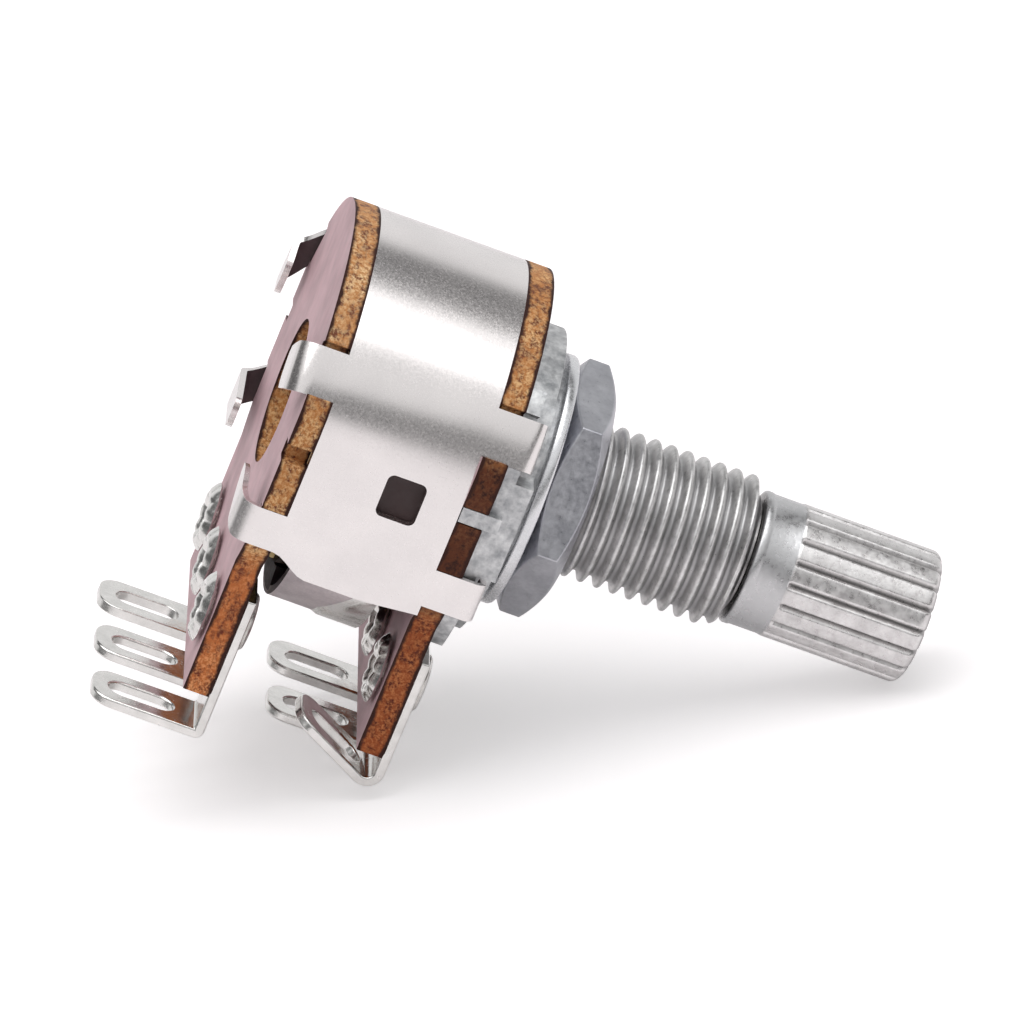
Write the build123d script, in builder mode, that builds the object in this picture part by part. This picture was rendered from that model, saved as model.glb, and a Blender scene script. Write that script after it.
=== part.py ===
from build123d import *
import os
import math

# Dual-gang 16 mm rotary potentiometer, every piece drawn in one frame, in millimetres.
# X runs along the shaft towards its tip, Z points away from the solder lugs,
# the origin is the middle of the panel seat on the shaft axis.

# Shaft
head_r = 3.0
collar_r = 2.95
neck_r = 2.4
tail_r = 2.2
tail_flat = 1.6
tip_x = 18.8
tip_chamfer = 0.45
knurl_x = 12.5
knurl_teeth = 18
knurl_groove_w = 0.24
knurl_groove_d = 0.2
head_gap = 0.2
tail_end_x = -9.3
running_clearance = 0.05
press_clearance = 0.01

# Threaded bushing and cast base
thread_r = 3.45
bushing_len = 10.0
bushing_chamfer = 0.35
thread_pitch = 0.75
thread_depth = 0.4
thread_crest_gap = 0.02
groove_first_x = 3.0
groove_count = 9
thread_sides = 24
seat_r = 5.0
seat_h = 0.5
base_t = 1.95
flange_t = 0.63
base_side_gap = 0.55
base_low_z = -6.1
base_wing = (-2.0, 2.5)
plateau_r = 7.15
pad_place = (4.3, 6.8)
pad_size = 1.5
clip_recess_r = 4.3
clip_recess_d = 1.0

# Nut, washer and clip
nut_af = 10.0
nut_t = 2.0
nut_turn = 10.0
thread_clearance = 0.02
washer_r = 5.65
washer_bore_r = 3.6
washer_t = 0.5
clip_t = 0.5
clip_r = 3.7
clip_float = 0.1
clip_mouth = 2.4

# Wafers
body_r = 8.8
side_flat = 0.4
wafer_t = 1.17
tongue_step = 1.32
tongue_z = -11.6
wafer_bore_r = 3.25
post_z = 0.6
post_h = 0.7
post_depth = 0.8
post_clearance = 0.05
gang_pitch = 7.9

# Case
sheet_t = 0.5
tab_upper_deg = 60.0
tab_upper_w = 2.3
tab_lower = (-3.9, -2.15)
tab_clearance = 0.05
tab_overhang = 1.0
tab_reach = 2.0
front_tab_reach = 1.5
wall_low_z = -4.6
wall_rear_z = -3.85
wall_step = (1.5, 3.8)
window_x = -5.63
window_z = 0.31
window_size = (1.75, 1.95)

# Contacts
film_t = 0.1
track_mid_r = 6.1
track_w = 1.6
collector_mid_r = 4.2
collector_w = 1.0
track_gap_deg = 60.0
wiper_t = 0.2
wiper_touch = 0.02
wiper_leaf_w = 4.6
wiper_leaf_r = 6.5
wiper_arm_r = 4.6
wiper_hole_r = 2.25
finger_w = 0.7
finger_len = 2.1
lug_w = 3.0
lug_t = 0.45
lug_pitch = 5.0
lug_shift = -0.3
lug_z = -13.75
lug_tip = 3.5
lug_tip_r = 1.0
lug_slot_w = 1.3
lug_slot_len = 2.9
lug_slot_end = 0.75
lug_bent_deg = 27.0
lug_heel_r = 0.4
lug_bent_heel_r = 0.8
rivet_z = -8.45
rivet_r = 0.95
rivet_bore_r = 0.55
rivet_flange_r = 1.5
rivet_flange_t = 0.45
rivet_tail_r = 1.3
rivet_tail_t = 0.25
rivet_sides = 12
film_sides = 24

# Rotors, separator and stop
rotor_edge = 0.1
front_rotor_t = 0.7
rear_rotor_t = 2.0
separator_t = 1.95
separator_gap = 0.05
separator_bore_r = 3.6
stop_half_deg = 22.0
stop_lug_half_deg = 8.0
stop_lug_gap = 0.12
strap_t = 0.45
strap_half_deg = 38.0

# Places derived from the values above
body_half_w = body_r - side_flat
base_half_w = body_half_w - base_side_gap
tongue_half_w = body_half_w - tongue_step
separator_r = body_r - sheet_t - separator_gap
track_r = (track_mid_r - track_w / 2, track_mid_r + track_w / 2)
collector_r = (collector_mid_r - collector_w / 2, collector_mid_r + collector_w / 2)
rotor_r = track_r[1] + rotor_edge
tab_upper_out = body_r * math.cos(tab_upper_w / 2 / body_r)
front_wafer_x = -base_t - wafer_t
rear_wafer_x = front_wafer_x - gang_pitch
case_front_x = front_wafer_x
case_rear_x = rear_wafer_x + wafer_t
flange_x = -base_t + flange_t
separator_x = window_x - separator_t / 2
front_rotor_x = separator_x + separator_t + 0.2
rear_rotor_x = separator_x - 0.3 - rear_rotor_t
front_film_x = front_wafer_x - film_t
rear_film_x = case_rear_x
bore_r = neck_r + running_clearance
thread_x = (groove_first_x - thread_pitch / 2, groove_first_x + (groove_count - 0.5) * thread_pitch)
head_x = bushing_len + head_gap
clip_x = -base_t + clip_recess_d - clip_float - clip_t
clip_groove_r = 1.85
lug_places = [lug_shift + lug_pitch * k for k in (1, 0, -1)]

os.makedirs("parts", exist_ok=True)


def cross(x):
    # plane across the shaft, its own axes along Y and Z, facing the tip
    return Plane(origin=(x, 0, 0), x_dir=(0, 1, 0), z_dir=(1, 0, 0))


def radial(deg, r):
    # plane across a radius at an angle from +Z, its own axes along X and the circle
    a = math.radians(deg)
    out = (0, math.sin(a), math.cos(a))
    return Plane(origin=(0, r * out[1], r * out[2]), x_dir=(1, 0, 0), z_dir=out)


def wedge(r, half_deg, up):
    # triangle from the axis, wide enough to cover an angle about +Z or -Z
    h = r * (1 if up else -1)
    w = r * math.tan(math.radians(half_deg))
    return [(0, 0), (w, h), (-w, h)]


def tail_outline(extra):
    Circle(tail_r + extra)
    Rectangle(4 * tail_r, 2 * (tail_flat + extra), mode=Mode.INTERSECT)


def upper_tab_notches():
    # cuts in a round outline where the case's two upper tabs pass
    a = math.radians(tab_upper_deg)
    depth = 2 * sheet_t
    reach = tab_upper_out - sheet_t - tab_clearance + depth
    for side in (-1, 1):
        spot = (side * reach * math.sin(a), reach * math.cos(a), 0)
        with Locations(Location(spot, (0, 0, -side * tab_upper_deg))):
            Rectangle(tab_upper_w + 2 * tab_clearance, 2 * depth, mode=Mode.SUBTRACT)


# Shaft with knurled head, smooth neck, clip groove and flatted tail
with BuildPart() as shaft:
    with BuildSketch(cross(tail_end_x)):
        tail_outline(0)
    extrude(amount=clip_x - clip_float / 2 - tail_end_x)
    with BuildSketch(cross(clip_x - clip_float / 2)):
        Circle(clip_groove_r)
    extrude(amount=clip_t + clip_float)
    with BuildSketch(cross(clip_x + clip_t + clip_float / 2)):
        Circle(neck_r)
    extrude(amount=head_x - clip_x - clip_t - clip_float / 2)
    with BuildSketch(cross(head_x)):
        Circle(collar_r)
    extrude(amount=knurl_x - head_x)
    with BuildSketch(cross(knurl_x)):
        Circle(head_r)
    extrude(amount=tip_x - knurl_x)
    chamfer(shaft.faces().sort_by(Axis.X)[-1].edges(), length=tip_chamfer)
    with BuildSketch(cross(knurl_x - 0.01)):
        with PolarLocations(head_r, knurl_teeth, start_angle=10):
            Polygon(
                (0.02, knurl_groove_w / 2),
                (0.02, -knurl_groove_w / 2),
                (-knurl_groove_d, 0),
                align=None,
            )
    extrude(amount=tip_x - knurl_x + 0.1, mode=Mode.SUBTRACT)
shaft.part.label = "shaft"
export_step(shaft.part, "parts/shaft.step")

# Open retaining clip in the shaft groove
with BuildPart() as retaining_clip:
    with BuildSketch(cross(clip_x)):
        Circle(clip_r)
        Circle(clip_groove_r + 0.02, mode=Mode.SUBTRACT)
        with Locations((0, clip_r / 2)):
            Rectangle(clip_mouth, clip_r * 1.2, mode=Mode.SUBTRACT)
    extrude(amount=clip_t)
retaining_clip.part.label = "retaining_clip"
export_step(retaining_clip.part, "parts/retaining_clip.step")

# Cast base with the threaded bushing, posts into the wafer notches and cast pads.
# The thread is drawn as ring grooves with few sides.
with BuildPart() as bushing_base:
    with BuildSketch(cross(-base_t)):
        Circle(body_r)
        Rectangle(2 * base_half_w, 3 * body_r, mode=Mode.INTERSECT)
        with Locations((0, base_low_z + body_r)):
            Rectangle(3 * body_r, 2 * body_r, mode=Mode.INTERSECT)
        upper_tab_notches()
    extrude(amount=flange_t)
    with BuildSketch(cross(flange_x)):
        Circle(plateau_r)
        with Locations((0, (base_wing[0] + base_wing[1]) / 2)):
            Rectangle(2 * base_half_w, base_wing[1] - base_wing[0])
        for side in (-1, 1):
            with Locations((side * pad_place[0], pad_place[1])):
                Rectangle(pad_size, pad_size)
        with Locations((0, base_low_z + body_r)):
            Rectangle(3 * body_r, 2 * body_r, mode=Mode.INTERSECT)
    extrude(amount=base_t - flange_t - seat_h)
    with BuildSketch(cross(-seat_h)):
        Circle(seat_r)
    extrude(amount=seat_h)
    with BuildSketch(cross(0)):
        Circle(thread_r)
    extrude(amount=thread_x[0])
    with BuildSketch(cross(thread_x[1])):
        Circle(thread_r)
    extrude(amount=bushing_len - thread_x[1])
    chamfer(bushing_base.faces().sort_by(Axis.X)[-1].edges(), length=bushing_chamfer)
    for k in range(2 * groove_count + 1):
        with BuildSketch(cross(thread_x[0] + k * thread_pitch / 2)):
            RegularPolygon(thread_r - (thread_depth if k % 2 else thread_crest_gap), thread_sides)
    loft(ruled=True)
    for side in (-1, 1):
        with BuildSketch(cross(front_wafer_x + post_clearance)):
            with Locations((side * (body_half_w - post_depth / 2), post_z)):
                Rectangle(post_depth - 2 * post_clearance, post_h)
        extrude(amount=flange_x - front_wafer_x - post_clearance)
    with BuildSketch(cross(-base_t)):
        Circle(bore_r)
    extrude(amount=base_t + bushing_len, mode=Mode.SUBTRACT)
    with BuildSketch(cross(-base_t)):
        Circle(clip_recess_r)
    extrude(amount=clip_recess_d, mode=Mode.SUBTRACT)
bushing_base.part.label = "bushing_base"
export_step(bushing_base.part, "parts/bushing_base.step")

# Flat washer on the panel seat
with BuildPart() as flat_washer:
    with BuildSketch(cross(0)):
        Circle(washer_r)
        Circle(washer_bore_r, mode=Mode.SUBTRACT)
    extrude(amount=washer_t)
flat_washer.part.label = "flat_washer"
export_step(flat_washer.part, "parts/flat_washer.step")

# Hexagon nut
with BuildPart() as hex_nut:
    with BuildSketch(cross(washer_t)):
        RegularPolygon(nut_af / 2, 6, major_radius=False, rotation=nut_turn)
        Circle(thread_r + thread_clearance, mode=Mode.SUBTRACT)
    extrude(amount=nut_t)
hex_nut.part.label = "hex_nut"
export_step(hex_nut.part, "parts/hex_nut.step")


def wafer_outline():
    Circle(body_r)
    Rectangle(2 * body_half_w, 3 * body_r, mode=Mode.INTERSECT)
    with Locations((0, tongue_z / 2)):
        Rectangle(2 * tongue_half_w, -tongue_z)
    Circle(wafer_bore_r, mode=Mode.SUBTRACT)
    low, high = tab_lower
    inner = body_half_w - sheet_t - tab_clearance
    upper_tab_notches()
    for side in (-1, 1):
        with Locations((side * (inner + sheet_t), (low + high) / 2)):
            Rectangle(2 * sheet_t, high - low + 2 * tab_clearance, mode=Mode.SUBTRACT)
        with Locations((side * (body_half_w - post_depth + 0.5), post_z)):
            Rectangle(1, post_h + 2 * post_clearance, mode=Mode.SUBTRACT)
    with Locations([(y, rivet_z) for y in lug_places]):
        RegularPolygon(rivet_r, rivet_sides, mode=Mode.SUBTRACT)


# Two fibre wafers
for name, x in (("front_wafer", front_wafer_x), ("rear_wafer", rear_wafer_x)):
    with BuildPart() as wafer:
        with BuildSketch(cross(x)):
            wafer_outline()
        extrude(amount=wafer_t)
    wafer.part.label = name
    export_step(wafer.part, "parts/" + name + ".step")

# Printed carbon tracks and collector rings facing each other inside the case
for name, x in (("front_track", front_film_x), ("rear_track", rear_film_x)):
    with BuildPart() as track:
        with BuildSketch(cross(x)):
            RegularPolygon(track_r[1], film_sides)
            RegularPolygon(track_r[0], film_sides, mode=Mode.SUBTRACT)
            Polygon(*wedge(2 * body_r, track_gap_deg / 2, False), align=None, mode=Mode.SUBTRACT)
        extrude(amount=film_t)
    track.part.label = name
    export_step(track.part, "parts/" + name + ".step")

for name, x in (("front_collector", front_film_x), ("rear_collector", rear_film_x)):
    with BuildPart() as collector:
        with BuildSketch(cross(x)):
            RegularPolygon(collector_r[1], film_sides)
            RegularPolygon(collector_r[0], film_sides, mode=Mode.SUBTRACT)
        extrude(amount=film_t)
    collector.part.label = name
    export_step(collector.part, "parts/" + name + ".step")


def case_outline(inset):
    r = body_r - inset
    half = body_half_w - inset
    Circle(r)
    Rectangle(2 * half, 3 * body_r, mode=Mode.INTERSECT)
    with Locations((0, body_r)):
        Rectangle(3 * body_r, 2 * body_r, mode=Mode.INTERSECT)
    with Locations((0, wall_low_z / 2)):
        Rectangle(2 * half, -wall_low_z)


def tab_plane(deg, lift):
    # plane along the shaft and a radius at an angle from +Z, its own axes X and that radius
    a = math.radians(deg)
    return Plane(origin=(0, 0, lift), x_dir=(1, 0, 0), z_dir=(0, -math.cos(a), math.sin(a)))


def rear_tab(r):
    # outline of a tab that leaves the case at a radius, passes the rear wafer and folds over it
    back = rear_wafer_x - tab_overhang
    inner = r - sheet_t
    return [
        (case_rear_x + 0.6, r),
        (back + 0.4, r),
        (back + 0.1, r - 0.12),
        (back, r - 0.4),
        (back + 0.3, r - tab_reach),
        (rear_wafer_x - 0.08, r - tab_reach),
        (back + sheet_t + 0.05, inner - 0.1),
        (back + sheet_t + 0.15, inner),
        (case_rear_x + 0.6, inner),
    ]


def front_tab(r):
    # outline of a tab that passes the front wafer and lies on the base's flange
    face = flange_x + 0.02
    inner = r - sheet_t
    return [
        (case_front_x - 0.6, r),
        (face + sheet_t - 0.35, r),
        (face + sheet_t - 0.1, r - 0.1),
        (face + sheet_t, r - 0.35),
        (face + sheet_t, r - front_tab_reach),
        (face, r - front_tab_reach),
        (face, inner),
        (case_front_x - 0.6, inner),
    ]


# Bent sheet case, open at the bottom, with four tabs at each end and a window in each wall
with BuildPart() as case:
    with BuildSketch(cross(case_rear_x)):
        case_outline(0)
    extrude(amount=case_front_x - case_rear_x)
    with BuildSketch(cross(case_rear_x)):
        case_outline(sheet_t)
        with Locations((0, wall_low_z)):
            Rectangle(2 * (body_half_w - sheet_t), 2, mode=Mode.ADD)
    extrude(amount=case_front_x - case_rear_x, mode=Mode.SUBTRACT)
    with BuildSketch(Plane.XZ):
        Polygon(
            (case_rear_x, wall_low_z - 1),
            (case_rear_x, wall_rear_z),
            (case_rear_x + wall_step[0], wall_rear_z),
            (case_rear_x + wall_step[1], wall_low_z),
            (case_rear_x + wall_step[1], wall_low_z - 1),
            align=None,
        )
    extrude(amount=2 * body_r, both=True, mode=Mode.SUBTRACT)
    with BuildSketch(Plane.XZ):
        with Locations((window_x, window_z)):
            RectangleRounded(window_size[0], window_size[1], 0.3)
    extrude(amount=2 * body_r, both=True, mode=Mode.SUBTRACT)
    for side in (-1, 1):
        for face_r, deg, lift, width in (
            (body_half_w, 90, (tab_lower[0] + tab_lower[1]) / 2, tab_lower[1] - tab_lower[0]),
            (tab_upper_out, tab_upper_deg, 0, tab_upper_w),
        ):
            with BuildSketch(tab_plane(side * deg, lift)):
                Polygon(*rear_tab(face_r), align=None)
                Polygon(*front_tab(face_r), align=None)
            extrude(amount=width / 2, both=True)
case.part.label = "case"
export_step(case.part, "parts/case.step")


def lug_inner_heel_z(deg):
    # height of the inside corner of the heel above its outside corner
    a = math.radians(deg)
    return lug_t / math.cos(a) + lug_t * math.tan(a)


def lug_profile(x, deg):
    # side view of a lug: foot up the wafer, heel at the bottom, strip to the tip
    c = math.cos(math.radians(deg))
    s = math.sin(math.radians(deg))
    heel_x = x + lug_t
    end = (heel_x - lug_reach * c, lug_z + lug_reach * s)
    return [
        (heel_x, lug_top_z),
        (x, lug_top_z),
        (x, lug_z + lug_inner_heel_z(deg)),
        (end[0] + lug_t * s, end[1] + lug_t * c),
        end,
        (heel_x, lug_z),
    ]


def heel_plane(x, y, deg):
    # plane under the bent heel of a lug, its own X running towards the lug's tip
    c = math.cos(math.radians(deg))
    s = math.sin(math.radians(deg))
    return Plane(origin=(x, y, lug_z), x_dir=(-c, 0, s), z_dir=(s, 0, c))


# Six solder lugs: riveted foot in front of the wafer, heel under the tongue, slotted eye behind.
# The nearest of the front gang is bent up.
lug_reach = wafer_t + lug_t + lug_tip
lug_top_z = rivet_z + lug_w / 2
for gang, x in (("front", front_wafer_x), ("rear", rear_wafer_x)):
    for k, y in enumerate(lug_places):
        name = gang + "_lug_" + str(k + 1)
        bent = lug_bent_deg if gang == "front" and k == 2 else 0.0
        foot_x = x + wafer_t
        with BuildPart() as lug:
            with BuildSketch(Plane(origin=(0, y, 0), x_dir=(1, 0, 0), z_dir=(0, -1, 0))):
                Polygon(*lug_profile(foot_x, bent), align=None)
            extrude(amount=lug_w / 2, both=True)
            heels = [(foot_x + lug_t, lug_z, lug_bent_heel_r if bent else lug_heel_r)]
            if bent:
                heels.append((foot_x, lug_z + lug_inner_heel_z(bent), lug_bent_heel_r - lug_t))
            for heel_x, heel_z, heel_r in heels:
                heel = lug.edges().filter_by(Axis.Y).filter_by(
                    lambda e: abs(e.center().X - heel_x) < 0.02 and abs(e.center().Z - heel_z) < 0.02
                )
                fillet(heel, radius=heel_r)
            tip = lug.edges().filter_by(lambda e: abs(e.length - lug_t) < 0.01).sort_by(Axis.X)[:2]
            fillet(tip, radius=lug_tip_r)
            with BuildSketch(cross(foot_x)):
                with Locations((y, rivet_z)):
                    RegularPolygon(rivet_r, rivet_sides)
            extrude(amount=lug_t, mode=Mode.SUBTRACT)
            with BuildSketch(heel_plane(foot_x + lug_t, y, bent)):
                with Locations((lug_reach - lug_slot_end - lug_slot_len / 2, 0)):
                    SlotOverall(lug_slot_len, lug_slot_w)
            extrude(amount=lug_t, mode=Mode.SUBTRACT)
        lug.part.label = name
        export_step(lug.part, "parts/" + name + ".step")

# Six hollow rivets, flared crown behind the wafer and rolled tail on the lug, drawn with few sides
for gang, x in (("front", front_wafer_x), ("rear", rear_wafer_x)):
    for k, y in enumerate(lug_places):
        name = gang + "_rivet_" + str(k + 1)
        with BuildPart() as rivet:
            with BuildSketch(cross(x - rivet_flange_t)):
                with Locations((y, rivet_z)):
                    RegularPolygon(rivet_flange_r, rivet_sides)
                    RegularPolygon(rivet_bore_r, rivet_sides, mode=Mode.SUBTRACT)
            extrude(amount=rivet_flange_t)
            with BuildSketch(cross(x)):
                with Locations((y, rivet_z)):
                    RegularPolygon(rivet_r, rivet_sides)
                    RegularPolygon(rivet_bore_r, rivet_sides, mode=Mode.SUBTRACT)
            extrude(amount=wafer_t + lug_t)
            with BuildSketch(cross(x + wafer_t + lug_t)):
                with Locations((y, rivet_z)):
                    RegularPolygon(rivet_tail_r, rivet_sides)
                    RegularPolygon(rivet_bore_r, rivet_sides, mode=Mode.SUBTRACT)
            extrude(amount=rivet_tail_t)
        rivet.part.label = name
        export_step(rivet.part, "parts/" + name + ".step")

# Front rotor, a thin disc keyed on the flatted tail
with BuildPart() as front_rotor:
    with BuildSketch(cross(front_rotor_x)):
        Circle(rotor_r)
    extrude(amount=front_rotor_t)
    with BuildSketch(cross(front_rotor_x)):
        tail_outline(press_clearance)
    extrude(amount=front_rotor_t, mode=Mode.SUBTRACT)
front_rotor.part.label = "front_rotor"
export_step(front_rotor.part, "parts/front_rotor.step")

# Rear rotor with the stop lug at its top
with BuildPart() as rear_rotor:
    with BuildSketch(cross(rear_rotor_x)):
        Polygon(*wedge(2 * body_r, stop_lug_half_deg, True), align=None)
        Circle(body_half_w - sheet_t - stop_lug_gap, mode=Mode.INTERSECT)
        Circle(rotor_r)
    extrude(amount=rear_rotor_t)
    with BuildSketch(cross(rear_rotor_x)):
        tail_outline(press_clearance)
    extrude(amount=rear_rotor_t, mode=Mode.SUBTRACT)
rear_rotor.part.label = "rear_rotor"
export_step(rear_rotor.part, "parts/rear_rotor.step")

# Spring wipers, a ring plate with sprung fingers that end just off the films
for name, face_x, touch_x, step in (
    ("front_wiper", front_rotor_x + front_rotor_t, front_film_x - wiper_touch, 1),
    ("rear_wiper", rear_rotor_x, rear_film_x + film_t + wiper_touch, -1),
):
    with BuildPart() as wiper:
        with BuildSketch(cross(face_x if step > 0 else face_x - wiper_t)):
            Rectangle(wiper_leaf_w, 2 * wiper_leaf_r)
            Rectangle(2 * wiper_arm_r, wiper_leaf_w)
            Circle(wiper_hole_r, mode=Mode.SUBTRACT)
        extrude(amount=wiper_t)
        plate_x = face_x + step * wiper_t
        outer_finger = (track_r[0] + track_r[1]) / 2 - finger_w / 2
        inner_finger = (collector_r[0] + collector_r[1]) / 2 - finger_w / 2
        for deg, r in ((0, outer_finger), (180, outer_finger), (90, inner_finger), (270, inner_finger)):
            with BuildSketch(radial(deg, r)):
                Polygon(
                    (face_x + step * 0.02, 0),
                    (plate_x, 0),
                    (touch_x, finger_len - 0.6),
                    (touch_x, finger_len - 0.2),
                    (touch_x - step * wiper_t, finger_len),
                    (touch_x - step * (wiper_t + 0.05), finger_len - 0.6),
                    (face_x + step * 0.02, 0.3),
                    align=None,
                )
            extrude(amount=finger_w)
    wiper.part.label = name
    export_step(wiper.part, "parts/" + name + ".step")

# Moulded separator between the gangs with the fixed stop for the rear rotor
with BuildPart() as separator:
    with BuildSketch(cross(separator_x)):
        Circle(separator_r)
        Rectangle(2 * (body_half_w - sheet_t - 0.05), 3 * body_r, mode=Mode.INTERSECT)
    extrude(amount=separator_t)
    with BuildSketch(cross(rear_rotor_x + 0.2)):
        Circle(separator_r)
        Circle(rotor_r + 0.15, mode=Mode.SUBTRACT)
        Polygon(*wedge(2 * body_r, stop_half_deg, False), align=None, mode=Mode.INTERSECT)
    extrude(amount=separator_x - rear_rotor_x - 0.2 + 0.1)
    with BuildSketch(cross(separator_x)):
        Circle(separator_bore_r)
    extrude(amount=separator_t, mode=Mode.SUBTRACT)
separator.part.label = "separator"
export_step(separator.part, "parts/separator.step")

# Steel strap under the separator, closing the open side of the case
with BuildPart() as strap:
    with BuildSketch(cross(rear_rotor_x + 0.2)):
        Circle(separator_r + strap_t)
        Circle(separator_r, mode=Mode.SUBTRACT)
        Polygon(*wedge(2 * body_r, strap_half_deg, False), align=None, mode=Mode.INTERSECT)
    extrude(amount=separator_x + separator_t - rear_rotor_x - 0.2)
strap.part.label = "strap"
export_step(strap.part, "parts/strap.step")
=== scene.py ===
import math

import bmesh
import bpy
from mathutils import Matrix, Vector


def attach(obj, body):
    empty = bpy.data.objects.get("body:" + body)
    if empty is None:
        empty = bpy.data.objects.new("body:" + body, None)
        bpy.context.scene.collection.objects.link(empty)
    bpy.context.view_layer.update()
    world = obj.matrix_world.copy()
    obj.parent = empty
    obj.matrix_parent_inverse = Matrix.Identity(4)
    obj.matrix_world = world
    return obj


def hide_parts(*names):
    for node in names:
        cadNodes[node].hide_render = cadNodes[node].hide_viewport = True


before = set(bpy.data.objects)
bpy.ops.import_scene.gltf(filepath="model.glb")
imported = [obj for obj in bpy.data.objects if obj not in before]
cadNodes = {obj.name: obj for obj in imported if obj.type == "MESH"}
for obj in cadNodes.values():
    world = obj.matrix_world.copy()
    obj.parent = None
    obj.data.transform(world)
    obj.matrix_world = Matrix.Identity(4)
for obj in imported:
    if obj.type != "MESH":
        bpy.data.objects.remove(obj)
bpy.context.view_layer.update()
mm = 0.001
scene = bpy.context.scene
scene.view_settings.view_transform = "Standard"
print("frame loaded,", len(cadNodes), "nodes")


# the photograph's camera, fitted to the part in its own frame
cameraFit = {
    "azimuth": -8.788,
    "elevation": 20.653,
    "roll": -22.797,
    "distance": 457.8,  # mm
    "offset": (-1.547, -1.135),  # mm, sideways and up
    "lens": 374.77,
    "shiftX": 1.2,  # mm along the shaft
}


def cameraAxes():
    a = math.radians(cameraFit["azimuth"])
    e = math.radians(cameraFit["elevation"])
    r = math.radians(cameraFit["roll"])
    back = Vector((math.sin(a) * math.cos(e), -math.cos(a) * math.cos(e), math.sin(e)))
    side = Vector((math.cos(a), math.sin(a), 0))
    top = back.cross(side)
    right = side * math.cos(r) - top * math.sin(r)
    up = side * math.sin(r) + top * math.cos(r)
    return right, up, back


right, up, back = cameraAxes()
camData = bpy.data.cameras.new("photoCamera")
camera = bpy.data.objects.new("photoCamera", camData)
scene.collection.objects.link(camera)
camData.sensor_width = 36
camData.lens = cameraFit["lens"]
camData.clip_start = 0.02
camData.clip_end = 5
spot = right * cameraFit["offset"][0] + up * cameraFit["offset"][1] + back * cameraFit["distance"]
spot.x += cameraFit["shiftX"]
camera.matrix_world = Matrix.Translation(spot * mm) @ Matrix((right, up, back)).transposed().to_4x4()
scene.camera = camera
print("camera placed")


# shader helpers
def newMaterial(name):
    mat = bpy.data.materials.new(name)
    mat.use_nodes = True
    tree = mat.node_tree
    tree.nodes.clear()
    out = tree.nodes.new("ShaderNodeOutputMaterial")
    shader = tree.nodes.new("ShaderNodeBsdfPrincipled")
    tree.links.new(shader.outputs["BSDF"], out.inputs["Surface"])
    coord = tree.nodes.new("ShaderNodeTexCoord").outputs["Object"]
    return mat, tree, shader, coord


def addNoise(tree, coord, scale, detail=3.0, rough=0.55, stretch=(1, 1, 1)):
    place = tree.nodes.new("ShaderNodeMapping")
    place.inputs["Scale"].default_value = stretch
    tree.links.new(coord, place.inputs["Vector"])
    noise = tree.nodes.new("ShaderNodeTexNoise")
    noise.inputs["Scale"].default_value = scale
    noise.inputs["Detail"].default_value = detail
    noise.inputs["Roughness"].default_value = rough
    tree.links.new(place.outputs["Vector"], noise.inputs["Vector"])
    return noise.outputs["Fac"]


def feed(tree, sockets, values):
    # sets each socket to its number or wires it, and leaves it alone where there is neither
    for socket, value in zip(sockets, values):
        if isinstance(value, (int, float)):
            socket.default_value = value
        elif value is not None:
            tree.links.new(value, socket)


def addRange(tree, value, fromMin, fromMax, toMin=0, toMax=1, kind="LINEAR"):
    node = tree.nodes.new("ShaderNodeMapRange")
    node.interpolation_type = kind
    feed(tree, node.inputs, (value, fromMin, fromMax, toMin, toMax))
    return node.outputs["Result"]


def addMath(tree, operation, a, b=None):
    node = tree.nodes.new("ShaderNodeMath")
    node.operation = operation
    feed(tree, node.inputs, (a, b))
    return node.outputs["Value"]


def addMix(tree, factor, colourA, colourB, blend="MIX"):
    node = tree.nodes.new("ShaderNodeMix")
    node.data_type = "RGBA"
    node.blend_type = blend
    tree.links.new(factor, node.inputs["Factor"])
    for socket, colour in ((node.inputs[6], colourA), (node.inputs[7], colourB)):
        if isinstance(colour, tuple):
            socket.default_value = (*colour, 1)
        else:
            tree.links.new(colour, socket)
    return node.outputs[2]


def addBump(tree, shader, height, distance, strength=0.5):
    node = tree.nodes.new("ShaderNodeBump")
    node.inputs["Distance"].default_value = distance
    node.inputs["Strength"].default_value = strength
    tree.links.new(height, node.inputs["Height"])
    tree.links.new(node.outputs["Normal"], shader.inputs["Normal"])


def addLength(tree, a, b):
    squares = addMath(tree, "ADD", addMath(tree, "MULTIPLY", a, a), addMath(tree, "MULTIPLY", b, b))
    return addMath(tree, "SQRT", squares)


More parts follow.
